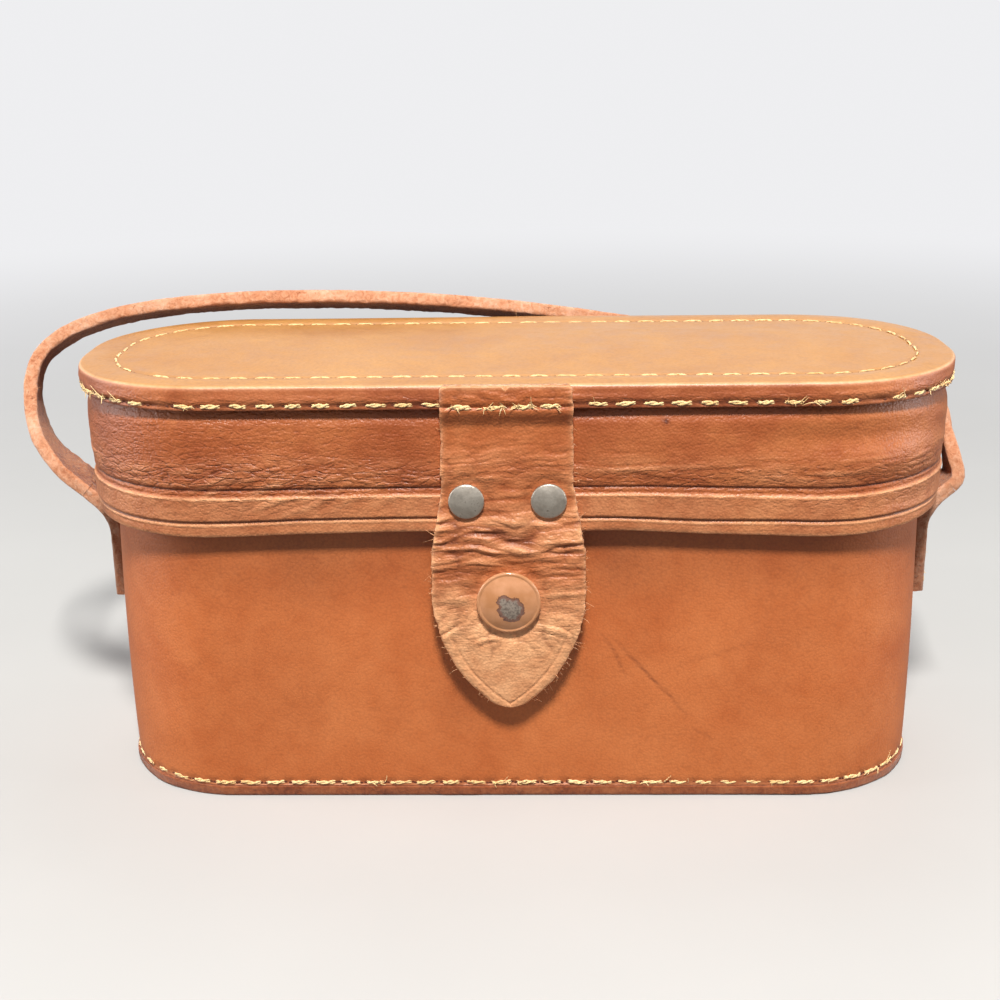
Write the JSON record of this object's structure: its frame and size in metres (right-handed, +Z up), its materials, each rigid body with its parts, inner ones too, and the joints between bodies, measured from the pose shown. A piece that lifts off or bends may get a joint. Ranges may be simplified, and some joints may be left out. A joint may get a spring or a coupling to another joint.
{
  "type": "leather camera case",
  "caption": "Long round-ended leather case with a deep drop-over hinged lid, a riveted closing tab with a press stud, and a flat carrying strap sewn to both ends.",
  "frame": {"origin": "middle of the underside, under the middle of the case's plan", "axes": "+X to the right seen from the front, along the case's length; -Y is the front with the closing tab; +Z is up"},
  "size_m": [0.2405, 0.0983, 0.1094],
  "materials": {
    "case_leather": "satin",
    "tab_leather": "satin",
    "strip_leather": "matte",
    "strap_leather": "satin",
    "nickel": "dull",
    "spring_wire": "satin",
    "cap_enamel": "gloss",
    "card": "matte",
    "lining": "matte"
  },
  "bodies": {
    "base": {"base_panel": "case_leather", "body_wall": "case_leather", "base_board": "card", "wall_board": "card", "wall_lining": "lining", "base_pad": "lining", "snap_stud": "nickel", "snap_post": "nickel", "hinge_strip_lower": "strip_leather", "strap_end_left": "strap_leather", "strap_end_right": "strap_leather", "carry_strap": "strap_leather"},
    "lid": {"lid_top": "case_leather", "lid_skirt": "case_leather", "lid_board": "card", "lid_lining": "lining", "closure_tab": "tab_leather", "rivet_caps": "nickel", "rivet_posts": "nickel", "hinge_strip_upper": "strip_leather"},
    "tongue": {"closure_tongue": "tab_leather", "snap_cap": "cap_enamel", "snap_socket": "nickel", "snap_spring": "spring_wire"}
  },
  "joints": [
    {"name": "lid_hinge", "type": "hinge", "parent": "base", "child": "lid", "pos_m": [0, 0.039, 0.0678], "axis": [-1, 0, 0], "range_deg": [0, 150], "deforming": ["carry_strap"]},
    {"name": "tongue_bend", "type": "hinge", "parent": "lid", "child": "tongue", "pos_m": [-0.0012, -0.04, 0.07], "axis": [-1, 0, 0], "range_deg": [0, 120]}
  ]
}
